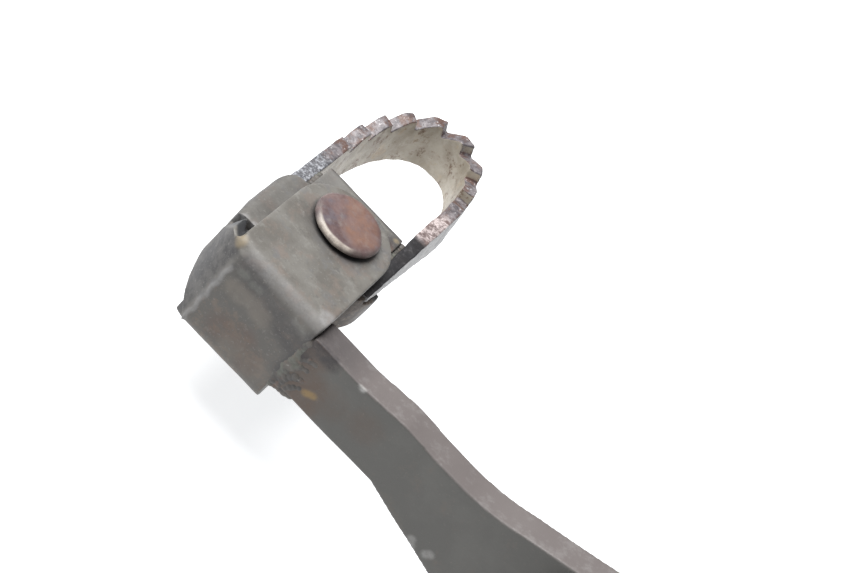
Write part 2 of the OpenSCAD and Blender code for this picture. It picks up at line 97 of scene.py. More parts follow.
def extent(node):
    """A node's lowest and highest corner in millimetres of the tip's frame."""
    low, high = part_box(node)
    zero = tip(0, 0, 0)
    return (low - zero) / MM, (high - zero) / MM


# ------------------------------------------------------------------ camera, light and floor
CAMERA_AT = (-0.11227, -0.33431, 0.27003)
CAMERA_AZIMUTH = -0.518
CAMERA_ELEVATION = 36.20
CAMERA_ROLL = 46.32
CAMERA_LENS = 89.456
CAMERA_SENSOR = 36.0
FLOOR_HALF = 3.0
FLOOR_GLOW = 0.76
SKY_STRENGTH = 0.32
KEY_AT = (-0.42, 0.05, 0.58)
KEY_TARGET = (-0.10, 0.0, 0.0)
KEY_SIZE = 0.60
KEY_WATTS = 9.6


def add_camera():
    a, e, r = (math.radians(v) for v in (CAMERA_AZIMUTH, CAMERA_ELEVATION, CAMERA_ROLL))
    back = Vector((math.sin(a) * math.cos(e), -math.cos(a) * math.cos(e), math.sin(e)))
    right = Vector((math.cos(a), math.sin(a), 0.0))
    up = back.cross(right)
    rolled = (math.cos(r) * right + math.sin(r) * up, math.cos(r) * up - math.sin(r) * right, back)
    data = bpy.data.cameras.new("camera")
    data.lens = CAMERA_LENS
    data.sensor_width = CAMERA_SENSOR
    data.clip_start = 0.01
    cam = bpy.data.objects.new("camera", data)
    cam.matrix_world = Matrix.Translation(CAMERA_AT) @ Matrix(rolled).transposed().to_4x4()
    bpy.context.scene.collection.objects.link(cam)
    bpy.context.scene.camera = cam


def add_lamp(name, at, target, size, watts, colour):
    data = bpy.data.lights.new(name, "AREA")
    data.shape = "DISK"
    data.size = size
    data.energy = watts
    data.color = colour
    lamp = bpy.data.objects.new(name, data)
    lamp.location = at
    lamp.rotation_euler = (Vector(target) - Vector(at)).to_track_quat("-Z", "Y").to_euler()
    bpy.context.scene.collection.objects.link(lamp)


def add_world(colour, strength):
    world = bpy.data.worlds.new("world")
    world.use_nodes = True
    world.node_tree.nodes["Background"].inputs["Color"].default_value = (*colour, 1)
    world.node_tree.nodes["Background"].inputs["Strength"].default_value = strength
    bpy.context.scene.world = world


def add_floor():
    bm = bmesh.new()
    bmesh.ops.create_grid(bm, x_segments=8, y_segments=8, size=FLOOR_HALF)
    floor = as_object("floor", bm)
    floor.location.z = cad_box[0].z
    floor.data.materials.append(floor_paper())


# ------------------------------------------------------------------ materials
class Look:
    """A material's node tree. Its calls return sockets, and sizes are in millimetres."""

    def __init__(self, name, metallic=0.0, specular=0.5):
        self.mat = bpy.data.materials.new(name)
        self.mat.use_nodes = True
        self.tree = self.mat.node_tree
        self.bsdf = self.tree.nodes["Principled BSDF"]
        self.bsdf.inputs["Metallic"].default_value = metallic
        self.bsdf.inputs["Specular IOR Level"].default_value = specular
        self.coords = self.tree.nodes.new("ShaderNodeTexCoord").outputs["Object"]
        self.draws = 0

    def put(self, socket, value):
        if isinstance(value, bpy.types.NodeSocket):
            self.tree.links.new(value, socket)
        elif isinstance(value, tuple) and len(value) == 3 and socket.type == "RGBA":
            socket.default_value = (*value, 1)
        else:
            socket.default_value = value

    def noise(self, size, detail=3.0, rough=0.6, stretch=(1, 1, 1)):
        """Cloudy pattern from 0 to 1 whose blotches are about this size."""
        self.draws += 1
        place = self.tree.nodes.new("ShaderNodeMapping")
        place.inputs["Scale"].default_value = stretch
        place.inputs["Location"].default_value = [self.draws * k for k in (0.37, 0.71, 0.53)]
        self.tree.links.new(self.coords, place.inputs["Vector"])
        node = self.tree.nodes.new("ShaderNodeTexNoise")
        node.inputs["Scale"].default_value = 0.5 / (size * MM)
        node.inputs["Detail"].default_value = detail
        node.inputs["Roughness"].default_value = rough
        self.tree.links.new(place.outputs["Vector"], node.inputs["Vector"])
        return node.outputs["Fac"]

    def level(self, value, low, high):
        """0 below low, 1 above high, and smooth between them."""
        node = self.tree.nodes.new("ShaderNodeMapRange")
        node.interpolation_type = "SMOOTHSTEP"
        self.put(node.inputs["Value"], value)
        node.inputs["From Min"].default_value = low
        node.inputs["From Max"].default_value = high
        return node.outputs["Result"]

    def blotches(self, low, high, *noise):
        """Noise of this size, detail and roughness: 0 below low, 1 above high, smooth between."""
        return self.level(self.noise(*noise), low, high)

    def both(self, a, b):
        node = self.tree.nodes.new("ShaderNodeMath")
        node.operation = "MULTIPLY"
        self.put(node.inputs[0], a)
        self.put(node.inputs[1], b)
        return node.outputs["Value"]

    def mask(self, name):
        """A zone that was painted on the mesh."""
        node = self.tree.nodes.new("ShaderNodeAttribute")
        node.attribute_name = name
        return node.outputs["Fac"]

    def worn_mask(self, name, size=1.2, ragged=0.8):
        """A painted zone that noise breaks up, with a soft ragged border."""
        broken = self.level(self.noise(size, 5, 0.72), 0.5 - 0.5 * ragged, 0.5 + 0.18 * ragged)
        return self.both(self.mask(name), broken)

    def mix(self, a, b, amount):
        node = self.tree.nodes.new("ShaderNodeMix")
        node.data_type = "RGBA"
        self.put(node.inputs["Factor"], amount)
        self.put(node.inputs["A"], a)
        self.put(node.inputs["B"], b)
        return node.outputs["Result"]

    def mix_value(self, a, b, amount):
        node = self.tree.nodes.new("ShaderNodeMix")
        self.put(node.inputs["Factor"], amount)
        self.put(node.inputs["A"], a)
        self.put(node.inputs["B"], b)
        return node.outputs["Result"]

    def bump(self, *heights):
        """Each height is a socket and its depth in millimetres."""
        normal = None
        for socket, depth in heights:
            node = self.tree.nodes.new("ShaderNodeBump")
            node.inputs["Distance"].default_value = depth * MM
            self.tree.links.new(socket, node.inputs["Height"])
            if normal:
                self.tree.links.new(normal, node.inputs["Normal"])
            normal = node.outputs["Normal"]
        self.tree.links.new(normal, self.bsdf.inputs["Normal"])

    def finish(self, colour, roughness):
        self.put(self.bsdf.inputs["Base Color"], colour)
        self.put(self.bsdf.inputs["Roughness"], roughness)
        return self.mat


def clevis_paint():
    look = Look("clevis_paint", specular=0.4)
    cloud = look.noise(5.0, 4, 0.60)
    fine = look.noise(0.35, 3, 0.7)
    colour = look.mix((0.108, 0.101, 0.091), (0.148, 0.142, 0.130), look.level(cloud, 0.36, 0.66))
    warm = look.both(look.blotches(0.50, 0.66, 2.4, 4, 0.65), 0.60)
    colour = look.mix(colour, (0.158, 0.128, 0.110), warm)
    cool = look.both(look.blotches(0.52, 0.66, 3.0, 4, 0.65), 0.50)
    colour = look.mix(colour, (0.118, 0.120, 0.126), cool)
    pale = look.both(look.blotches(0.54, 0.68, 1.5, 4, 0.7), 0.55)
    colour = look.mix(colour, (0.190, 0.185, 0.173), pale)
    grimy = look.both(look.blotches(0.56, 0.68, 1.2, 5, 0.75), 0.45)
    colour = look.mix(colour, (0.070, 0.066, 0.062), grimy)
    # Darker colour for side faces: painted shade on the flange and on the tip's wing.
    lee = look.mix((0.043, 0.041, 0.042), (0.084, 0.080, 0.077), look.blotches(0.40, 0.64, 2.2, 4, 0.7))
    colour = look.mix(colour, lee, look.mask("lee"))
    colour = look.mix(colour, (0.088, 0.083, 0.076), look.both(look.mask("brown"), 0.80))
    rusty = look.both(look.mask("brown"), look.blotches(0.50, 0.66, 1.8, 5, 0.75))
    colour = look.mix(colour, (0.158, 0.122, 0.096), look.both(rusty, 0.55))
    grey = look.both(look.mask("brown"), look.blotches(0.56, 0.68, 1.1, 5, 0.75))
    colour = look.mix(colour, (0.152, 0.146, 0.132), look.both(grey, 0.60))
    colour = look.mix(colour, (0.120, 0.056, 0.036), look.both(look.worn_mask("rust", 1.4), 0.85))
    # The dark zone: painted shade below the bend and where the web meets the arm, and darker marks round the rivet
    # head and near the ridge.
    colour = look.mix(colour, (0.037, 0.034, 0.037), look.both(look.worn_mask("dark", 2.4, 0.9), 0.85))
    worn = look.both(look.mask("edge"), look.blotches(0.32, 0.64, 1.1, 4, 0.7))
    colour = look.mix(colour, (0.264, 0.256, 0.240), look.both(worn, 0.55))
    # The light zone: painted highlights on the bend, the ear's corner and the ridge, where paint is also worn.
    colour = look.mix(colour, (0.264, 0.260, 0.264), look.both(look.worn_mask("light", 1.0), 0.65))
    colour = look.mix(colour, (0.240, 0.192, 0.120), look.both(look.worn_mask("yellow", 1.2), 0.75))
    colour = look.mix(colour, (0.168, 0.148, 0.126), look.both(look.worn_mask("tan", 1.8), 0.75))
    colour = look.mix(colour, (0.158, 0.165, 0.144), look.both(look.worn_mask("green", 0.9), 0.70))
    colour = look.mix(colour, (0.190, 0.187, 0.180), look.both(look.worn_mask("pale", 2.5), 0.60))
    crust = look.mix((0.040, 0.029, 0.021), (0.140, 0.103, 0.074), look.blotches(0.42, 0.62, 0.9, 5, 0.75))
    colour = look.mix(colour, crust, look.both(look.mask("crust"), 0.85))
    colour = look.mix(colour, (0.208, 0.200, 0.188), look.both(look.level(fine, 0.58, 0.70), 0.40))
    # Near-black painted shade: under the rivet head's rim, inside between the ears, and in the slot by the flange.
    colour = look.mix(colour, (0.009, 0.010, 0.013), look.both(look.mask("soot"), 0.93))
    look.bump((cloud, 0.10), (look.noise(0.9, 4, 0.65), 0.06), (fine, 0.02))
    return look.finish(colour, look.mix_value(0.42, 0.60, look.level(cloud, 0.3, 0.7)))


def arm_paint():
    look = Look("arm_paint", specular=0.35)
    cloud = look.noise(7, 4, 0.6)
    colour = look.mix((0.092, 0.090, 0.084), (0.114, 0.112, 0.105), look.level(cloud, 0.36, 0.66))
    warm = look.blotches(0.54, 0.70, 3.0, 4, 0.7)
    colour = look.mix(colour, (0.129, 0.109, 0.094), look.both(warm, 0.40))
    # Lighter upward faces, with grey blotches: painted light from above.
    colour = look.mix(colour, (0.137, 0.119, 0.117), look.both(look.mask("top"), 0.85))
    grey = look.both(look.mask("top"), look.blotches(0.50, 0.68, 2.2, 5, 0.75))
    colour = look.mix(colour, (0.191, 0.179, 0.176), look.both(grey, 0.60))
    colour = look.mix(colour, (0.098, 0.058, 0.039), look.both(look.worn_mask("rust", 1.8), 0.85))
    # The dark zone: painted shade in the crevice by the clevis, and a darker top near it.
    colour = look.mix(colour, (0.031, 0.028, 0.031), look.both(look.worn_mask("dark", 1.8, 0.7), 0.90))
    colour = look.mix(colour, (0.328, 0.211, 0.066), look.both(look.worn_mask("yellow", 1.2, 0.6), 0.50))
    worn = look.both(look.mask("edge"), look.blotches(0.38, 0.66, 1.6, 4, 0.75))
    colour = look.mix(colour, (0.234, 0.230, 0.226), look.both(worn, 0.60))
    colour = look.mix(colour, (0.328, 0.324, 0.316), look.both(look.worn_mask("light", 0.8), 0.90))
    speck = look.blotches(0.62, 0.72, 0.30, 3, 0.7)
    colour = look.mix(colour, (0.172, 0.156, 0.136), look.both(speck, 0.30))
    look.bump((cloud, 0.10), (look.noise(0.8, 4, 0.65), 0.05), (look.noise(0.25, 2), 0.015))
    return look.finish(colour, look.mix_value(0.45, 0.62, look.level(cloud, 0.3, 0.7)))


def rivet_rust():
    look = Look("rivet_rust", specular=0.35)
    cloud = look.noise(3.4, 5, 0.65)
    fine = look.noise(0.5, 4, 0.7)
    colour = look.mix((0.078, 0.050, 0.052), (0.146, 0.098, 0.094), look.level(cloud, 0.38, 0.64))
    purple = look.blotches(0.48, 0.64, 2.2, 4, 0.6)
    colour = look.mix(colour, (0.108, 0.092, 0.106), look.both(purple, 0.75))
    grey = look.blotches(0.54, 0.68, 1.5, 5, 0.7)
    colour = look.mix(colour, (0.170, 0.150, 0.146), look.both(grey, 0.55))
    colour = look.mix(colour, (0.215, 0.105, 0.056), look.both(look.worn_mask("orange", 1.6), 0.60))
    colour = look.mix(colour, (0.200, 0.165, 0.155), look.both(look.level(fine, 0.58, 0.75), 0.35))
    rim = look.both(look.mask("rim"), look.blotches(0.30, 0.62, 1.4, 4, 0.7))
    colour = look.mix(colour, (0.105, 0.085, 0.080), look.both(rim, 0.60))
    # Worn bevel made pale on one side: a painted highlight.
    colour = look.mix(colour, (0.520, 0.470, 0.410), look.both(look.worn_mask("light", 1.1), 0.85))
    look.bump((cloud, 0.14), (fine, 0.03))
    return look.finish(colour, look.mix_value(0.36, 0.56, look.level(fine, 0.35, 0.65)))


def band_metal():
    look = Look("band_metal", metallic=0.1, specular=0.45)
    cloud = look.noise(3.0, 5, 0.68)
    fine = look.noise(0.28, 3, 0.75)
    stain = look.blotches(0.530, 0.63, 2.1, 5, 0.78)
    beige = look.mix((0.290, 0.255, 0.205), (0.400, 0.365, 0.310), look.level(cloud, 0.36, 0.64))
    beige = look.mix(beige, (0.420, 0.290, 0.160), look.both(look.blotches(0.55, 0.70, 2.4, 4), 0.35))
    beige = look.mix(beige, (0.120, 0.068, 0.040), look.both(stain, 0.85))
    beige = look.mix(beige, (0.160, 0.130, 0.105), look.both(look.blotches(0.60, 0.70, 0.6, 4, 0.8), 0.5))
    outer = look.mix((0.270, 0.268, 0.275), (0.400, 0.395, 0.395), look.level(cloud, 0.35, 0.65))
    colour = look.mix(outer, beige, look.mask("inner"))
    crest = look.mix((0.075, 0.066, 0.072), (0.190, 0.172, 0.180), look.blotches(0.38, 0.64, 0.9, 4, 0.7))
    crest = look.mix(crest, (0.095, 0.045, 0.030), look.both(look.blotches(0.47, 0.60, 2.0, 4, 0.7), 0.80))
    crest = look.mix(crest, (0.700, 0.680, 0.690), look.both(look.blotches(0.575, 0.68, 0.6, 5, 0.85), 0.85))
    colour = look.mix(colour, crest, look.level(look.mask("crest"), 0.3, 0.7))
    bluish = look.mix((0.070, 0.074, 0.084), (0.400, 0.415, 0.450), look.blotches(0.44, 0.66, 0.42, 4, 0.8))
    colour = look.mix(colour, bluish, look.both(look.mask("bluish"), 0.85))
    pinkish = look.mix((0.120, 0.085, 0.080), (0.620, 0.540, 0.530), look.blotches(0.42, 0.62, 0.7, 5, 0.85))
    colour = look.mix(colour, pinkish, look.both(look.mask("pinkish"), 0.85))
    # Near-black for the right leg's end: dark paint deepened with painted shade.
    sooty = look.mix((0.010, 0.010, 0.012), (0.045, 0.043, 0.046), look.blotches(0.50, 0.68, 0.6, 5, 0.8))
    colour = look.mix(colour, sooty, look.both(look.level(look.mask("soot"), 0.2, 0.8), 0.97))
    colour = look.mix(colour, (0.560, 0.545, 0.535), look.both(look.both(look.mask("edge"), cloud), 0.75))
    look.bump((cloud, 0.10), (look.noise(0.8, 4, 0.7), 0.08), (fine, 0.02))
    return look.finish(colour, look.mix_value(0.38, 0.60, look.level(fine, 0.35, 0.65)))


def weld_metal():
    look = Look("weld_metal", specular=0.4)
    cloud = look.noise(2.0, 5, 0.7)
    colour = look.mix((0.056, 0.051, 0.048), (0.124, 0.112, 0.100), look.level(cloud, 0.38, 0.64))
    colour = look.mix(colour, (0.140, 0.085, 0.062), look.both(look.blotches(0.53, 0.66, 1.6, 4), 0.6))
    colour = look.mix(colour, (0.112, 0.120, 0.100), look.both(look.blotches(0.55, 0.66, 2.2, 4), 0.6))
    colour = look.mix(colour, (0.300, 0.285, 0.270), look.both(look.blotches(0.64, 0.74, 0.6, 4), 0.5))
    look.bump((cloud, 0.18), (look.noise(0.4, 4, 0.7), 0.05))
    return look.finish(colour, look.mix_value(0.40, 0.65, look.level(cloud, 0.3, 0.7)))


def worn_steel(name, dark, pale, rust, gloss, metallic):
    """Bare or plated metal with fine scratches, dull patches and some rust."""
    look = Look(name, metallic=metallic)
    cloud = look.noise(1.8, 4, 0.65)
    scratch = look.noise(0.22, 2, 0.5, stretch=(1, 1, 0.15))
    colour = look.mix(dark, pale, look.level(cloud, 0.33, 0.68))
    colour = look.mix(colour, rust, look.both(look.blotches(0.54, 0.68, 2.4, 5, 0.7), 0.7))
    look.bump((cloud, 0.05), (scratch, 0.015))
    return look.finish(colour, look.mix_value(gloss, gloss + 0.25, look.level(scratch, 0.3, 0.7)))


def seal_rubber():
    look = Look("seal_rubber", specular=0.3)
    dust = look.blotches(0.45, 0.70, 1.5, 4, 0.7)
    colour = look.mix((0.018, 0.018, 0.019), (0.080, 0.075, 0.068), look.both(dust, 0.7))
    look.bump((look.noise(0.4, 3), 0.03))
    return look.finish(colour, look.mix_value(0.55, 0.80, dust))


def floor_paper():
    """Pale paper on a light table, which keeps the shadows faint."""
    look = Look("floor_paper", specular=0.1)
    fibre = look.noise(30, 3, 0.5)
    colour = look.mix((0.480, 0.485, 0.495), (0.520, 0.523, 0.530), fibre)
    look.bsdf.inputs["Emission Color"].default_value = (0.97, 0.985, 1.0, 1)
    look.bsdf.inputs["Emission Strength"].default_value = FLOOR_GLOW
    return look.finish(colour, look.mix_value(0.85, 0.95, fibre))


ZINC = ((0.300, 0.295, 0.275), (0.480, 0.470, 0.440), (0.160, 0.085, 0.050), 0.32, 0.7)
BRONZE = ((0.300, 0.190, 0.085), (0.520, 0.360, 0.180), (0.100, 0.070, 0.045), 0.35, 0.85)
SPRING = ((0.070, 0.066, 0.062), (0.190, 0.180, 0.165), (0.130, 0.070, 0.045), 0.30, 0.75)
LOOKS = {
    "clevis_paint": clevis_paint(),
    "arm_paint": arm_paint(),
    "rivet_rust": rivet_rust(),
    "band_metal": band_metal(),
    "weld_metal": weld_metal(),
    "zinc_steel": worn_steel("zinc_steel", *ZINC),
    "bronze": worn_steel("bronze", *BRONZE),
    "spring_steel": worn_steel("spring_steel", *SPRING),
    "seal_rubber": seal_rubber(),
}


# ------------------------------------------------------------------ mesh helpers
def as_object(name, bm):
    mesh = bpy.data.meshes.new(name)
    bm.to_mesh(mesh)
    bm.free()
    obj = bpy.data.objects.new(name, mesh)
    bpy.context.scene.collection.objects.link(obj)
    return obj


def baked(obj, *modifiers):
    """Applies modifiers, given as (kind, settings), to the object's mesh."""
    for kind, settings in modifiers:
        modifier = obj.modifiers.new(kind, kind)
        for key, value in settings.items():
            setattr(modifier, key, value)
    shape = bpy.data.meshes.new_from_object(obj.evaluated_get(bpy.context.evaluated_depsgraph_get()))
    obj.modifiers.clear()
    old = obj.data
    obj.data = shape
    bpy.data.meshes.remove(old)
    return obj


def install(obj, node):
    """The piece stands for a CAD node: it takes the look of the node's slot, and the node is hidden."""
    obj.data.polygons.foreach_set("use_smooth", [True] * len(obj.data.polygons))
    obj.data.materials.clear()
    obj.data.materials.append(LOOKS[SLOT_OF[node]])
    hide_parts(node)
    return obj


def co_of(mesh):
    values = np.empty(len(mesh.vertices) * 3, np.float32)
    mesh.vertices.foreach_get("co", values)
    return values.reshape(-1, 3).astype(float)


def normals_of(mesh):
    values = np.empty(len(mesh.vertices) * 3, np.float32)
    mesh.vertex_normals.foreach_get("vector", values)
    return values.reshape(-1, 3).astype(float)


def move_to(mesh, points):
    mesh.vertices.foreach_set("co", points.astype(np.float32).ravel())
    mesh.update()


def edges_of(mesh):
    values = np.empty(len(mesh.edges) * 2, np.int32)
    mesh.edges.foreach_get("vertices", values)
    return values.reshape(-1, 2)


def spread(values, edges, rounds):
    """Averages a value over neighbours, a few times."""
    count = np.bincount(edges.ravel(), minlength=len(values))
    for _ in range(rounds):
        total = np.bincount(edges[:, 0], values[edges[:, 1]], len(values))
        total += np.bincount(edges[:, 1], values[edges[:, 0]], len(values))
        values = 0.5 * values + 0.5 * total / np.maximum(count, 1)
    return values


def edge_wear(mesh, rounds=3, low=0.05, high=0.22):
    """1 on the crests of outward edges and 0 on flat or hollow places."""
    points, normals, edges = co_of(mesh), normals_of(mesh), edges_of(mesh)
    count = np.maximum(np.bincount(edges.ravel(), minlength=len(points)), 1)
    centre = np.empty_like(points)
    for k in range(3):
        total = np.bincount(edges[:, 0], points[edges[:, 1], k], len(points))
        total += np.bincount(edges[:, 1], points[edges[:, 0], k], len(points))
        centre[:, k] = total / count
    pitch = np.linalg.norm(points[edges[:, 0]] - points[edges[:, 1]], axis=1).mean()
    bulge = ((points - centre) * normals).sum(1) / pitch
    return ramp(spread(bulge, edges, rounds), low, high)


def ramp(value, low, high):
    t = np.clip((value - low) / (high - low), 0, 1)
    return t * t * (3 - 2 * t)


def near(points, places, radius):
    """1 at the places, in millimetres, and falling to 0 at the radius from them."""
    gap = np.full(len(points), np.inf)
    for place in places:
        gap = np.minimum(gap, np.linalg.norm(points - np.array(place), axis=1))
    return 1 - ramp(gap, 0.35 * radius, radius)


def paint(obj, **zones):
    for name, values in zones.items():
        layer = obj.data.attributes.new(name, "FLOAT", "POINT")
        layer.data.foreach_set("value", np.clip(values, 0, 1).astype(np.float32))


def roughen(obj, size, depth, seed=SEED):
    """Presses shallow irregular dents into the surface: it never grows."""
    mesh = obj.data
    points, normals = co_of(mesh), normals_of(mesh)
    shift = Vector((seed * 1.7, seed * 0.9, seed * 2.3))
    scale = 1 / (size * MM)
    dents = np.array([noise.noise(Vector(p) * scale + shift) for p in points])
    move_to(mesh, points - normals * (depth * MM * np.clip(dents + 0.5, 0, 1))[:, None])
    return obj


def melt(obj, places, radius, rounds):
    """Smooths the surface near some places in millimetres of the tip's frame."""
    mesh = obj.data
    points, edges = co_of(mesh), edges_of(mesh)
    soft = np.stack([spread(points[:, k], edges, rounds) for k in range(3)], 1)
    share = near(tip_mm(points), places, radius)[:, None]
    move_to(mesh, points + (soft - points) * share)


def worn_copy(name, node, voxel, rounds, lumps=()):
    """A fine copy of a CAD node with its edges worn round. Lumps, given as a place and a radius
    in millimetres of the tip's frame, melt into it: dark fillers that close a gap in painted shade."""
    bm = bmesh.new()
    bm.from_mesh(frame["nodes"][node].data)
    bmesh.ops.remove_doubles(bm, verts=bm.verts, dist=1e-6)
    for place, radius in lumps:
        matrix = Matrix.Translation(tip(*place)) @ Matrix.Scale(radius * MM, 4)
        bmesh.ops.create_icosphere(bm, subdivisions=3, radius=1.0, matrix=matrix)
    obj = as_object(name, bm)
    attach(obj, BODY_OF[node])
    remesh = ("REMESH", {"mode": "VOXEL", "voxel_size": voxel * MM, "adaptivity": 0.0})
    return baked(obj, remesh, ("SMOOTH", {"factor": 0.5, "iterations": rounds}))


def eased(points, size, steps=4):
    """An outline of (radius, height) points with its inner corners rounded by about this size."""
    out = [points[0]]
    for before, corner, after in zip(points, points[1:], points[2:]):
        c, a, b = Vector(corner), Vector(before), Vector(after)
        start = c + (a - c).normalized() * min(size, (a - c).length * 0.45)
        end = c + (b - c).normalized() * min(size, (b - c).length * 0.45)
        for i in range(steps + 1):
            t = i / steps
            out.append(tuple((1 - t) ** 2 * start + 2 * t * (1 - t) * c + t ** 2 * end))
    out.append(points[-1])
    return out


def spun(name, body, place, loops, steps=96, closed=False):
    """A surface round the Z axis. Each loop gives its radius and height in millimetres for an angle.
    It is closed like a ring, or capped at both ends."""
    bm = bmesh.new()
    rings = []
    for loop in loops:
        ring = []
        for k in range(steps):
            angle = 2 * math.pi * k / steps
            radius, height = loop(angle)
            spot = Vector((radius * math.cos(angle), radius * math.sin(angle), height))
            ring.append(bm.verts.new(place @ spot))
        rings.append(ring)
    pairs = list(zip(rings, rings[1:])) + ([(rings[-1], rings[0])] if closed else [])
    for low, high in pairs:
        for k in range(steps):
            n = (k + 1) % steps
            bm.faces.new((low[k], low[n], high[n], high[k]))
    if not closed:
        for ring in (rings[0], rings[-1]):
            middle = sum((v.co for v in ring), Vector()) / steps
            centre = bm.verts.new(middle)
            for k in range(steps):
                bm.faces.new((ring[k], ring[(k + 1) % steps], centre))
    bmesh.ops.recalc_face_normals(bm, faces=bm.faces)
    obj = as_object(name, bm)
    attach(obj, body)
    return obj


def turned(name, body, place, outline, steps=96, closed=True, ease=0.3):
    """A lathe-turned piece. Its outline runs round the section, or from pole to pole."""
    if closed:
        outline = eased(outline + outline[:2], ease)[1:-1]
    else:
        outline = eased(outline, ease)
    return spun(name, body, place, [lambda a, p=p: p for p in outline], steps, closed)


def ring_outline(r_out, r_in, low, high):
    return [(r_out, low), (r_out, high), (r_in, high), (r_in, low)]


def bead(name, node, lines, radius, pitch, voxel, seed):
    """A weld bead: overlapping drops along lines of millimetre points, melted into one lumpy solid."""
    rng = np.random.default_rng(seed)
    bm = bmesh.new()
    for line in lines:
        for a, b in zip(line, line[1:]):
            a, b = Vector(a), Vector(b)
            count = max(1, round((b - a).length / pitch))
            for i in range(count + 1):
                spot = a.lerp(b, i / count) + Vector(rng.uniform(-0.08, 0.08, 3))
                size = radius * rng.uniform(0.86, 0.98)
                matrix = Matrix.Translation(spot * MM) @ Matrix.Scale(size * MM, 4)
                bmesh.ops.create_icosphere(bm, subdivisions=3, radius=1.0, matrix=matrix)
    obj = as_object(name, bm)
    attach(obj, BODY_OF[node])
    remesh = ("REMESH", {"mode": "VOXEL", "voxel_size": voxel * MM, "adaptivity": 0.0})
    return install(baked(obj, remesh, ("SMOOTH", {"factor": 0.5, "iterations": 3})), node)


# ------------------------------------------------------------------ clevis
WEB_LEFT = -9.7
WEB_Y = -28.4
FLANGE_R = 14.0
FLANGE_FROM = math.radians(155)


def clevis_shell():
    # Filler lumps that close a see-through gap behind the slot; they take the slot's painted shade.
    shade_fillers = [((-12.3, -20.5, -3.5), 1.0), ((-13.1, -20.9, -3.6), 1.0), ((-11.9, -21.3, -3.4), 1.0)]
    obj = worn_copy("clevis_shell", "clevis_bracket", 0.30, 6, shade_fillers)
    melt(obj, [(-10.6, -27.4, -1.2), (-10.2, -27.6, -2.4), (-11.4, -26.2, -0.8)], 3.0, 36)
    roughen(obj, 6.0, 0.08)
    low = extent("clevis_bracket")[0]
    rivet_r = extent("pivot_rivet")[1].x
    p, n = tip_mm(co_of(obj.data)), normals_of(obj.data)
    x, y, z = p.T
    web = ramp(-n[:, 1], 0.5, 0.85) * ramp(-y, -low.y - 3, -low.y - 1)
    web *= ramp(x, WEB_LEFT - 0.6, WEB_LEFT + 0.6)
    # Painted highlight along the ear-to-web bend.
    bend_highlight = ramp(-n[:, 1], 0.2, 0.6) * ramp(n[:, 2], 0.2, 0.6) * ramp(x, WEB_LEFT - 1, WEB_LEFT + 2)
    top = ramp(n[:, 2], 0.6, 0.9) * ramp(z, -0.6, -0.2)
    from_rivet = np.hypot(x, y)
    # Along the web–flange ridge: worn paint with a painted highlight.
    ridge = [(WEB_LEFT + 0.25 * math.sin(v * 1.3), low.y + 0.2, -v) for v in np.arange(6, 25, 0.5)]
    crease_wear_and_highlight = near(p, ridge, 0.8)
    # Painted shadow on the ear's top, just under the rivet head's rim.
    shadow_under_head = top * (1 - ramp(from_rivet, rivet_r - 0.2, rivet_r + 0.7))
    # Darker top face round the rivet head, on its -y side.
    round_head_dark = top * (1 - ramp(from_rivet, rivet_r, rivet_r + 4)) * ramp(-y, -3, 5)
    shade = near(p, [(v, low.y, -4.5 - 0.25 * (v + 5)) for v in np.arange(-7, 12, 0.7)], 4.6)
    # Painted shade where the web's right end meets the arm.
    corner = near(p, [(12.5, low.y, -v) for v in np.arange(4, 16, 0.8)], 3.2)
    # Painted shade inside the clevis, between its ears.
    shaded_inside = ramp(-z, 1.5, 3) * ramp(n[:, 1] + n[:, 0], -0.1, 0.5) * ramp(-x, 8, 10)
    flange_x = WEB_LEFT + FLANGE_R * math.sin(FLANGE_FROM)
    flange_y = WEB_Y - FLANGE_R * math.cos(FLANGE_FROM)
    # Painted shade: the slot between the ear and the flange's wall is painted near-black.
    slot = ramp(-z, 1.0, 1.6) * ramp(-x, 11.6, 12.3) * ramp(y, -25.6, -25.0) * ramp(-y, 18.5, 19.5)
    slot *= 1 - ramp(np.hypot(x - flange_x, y - flange_y), 12.8, 13.5)
    # Painted shade: the flange's side faces are painted darker.
    flange_shade = ramp(-x, 10.0, 11.5) * ramp(-y, 15, 17) * ramp(-n[:, 2], -0.75, -0.35) * ramp(-z, 0.5, 2.5)
    dashes = [(-7.2, low.y, -5.0), (-6.2, low.y, -4.7), (-3.9, low.y, -5.1), (-2.4, low.y, -4.9)]
    streak = near(p, dashes, 1.35)
    patch = near(p, [(v, low.y, -9.0 - 0.3 * math.sin(v)) for v in np.arange(-6, 3, 1.0)], 3.4)
    notch = near(p, [(v, low.y + 0.4, -3.4) for v in np.arange(-10, -6, 1.0)], 2.0)
    paint(
        obj,
        edge=edge_wear(obj.data),
        brown=web * ramp(-z, 3, 8),
        rust=near(p, [(2, low.y, -17), (-3, low.y, -19), (6, low.y, -20)], 5.0) * 0.35,
        dark=np.maximum.reduce([shade * 0.8, corner * 0.9, round_head_dark * 0.5, notch * 0.6]),
        tan=np.maximum(patch * 0.8, near(p, [(8, low.y, -21), (2, low.y, -21)], 5.0) * 0.5),
        # The light zone: painted highlights on the bend and on the ear's right corner, and the ridge's worn,
        # highlighted line.
        light=np.maximum.reduce([crease_wear_and_highlight * 0.8, bend_highlight * 0.55, near(p, [(11.5, -25, -0.3)], 3.0)]),
        yellow=near(p, [(-12.2, -26.4, -0.6), (-12.5, -27.4, -1.0)], 2.2),
        lee=flange_shade,
        green=streak * 0.6,
        soot=np.maximum.reduce([shadow_under_head * 0.6, shaded_inside, slot]),
    )
    return install(obj, "clevis_bracket")


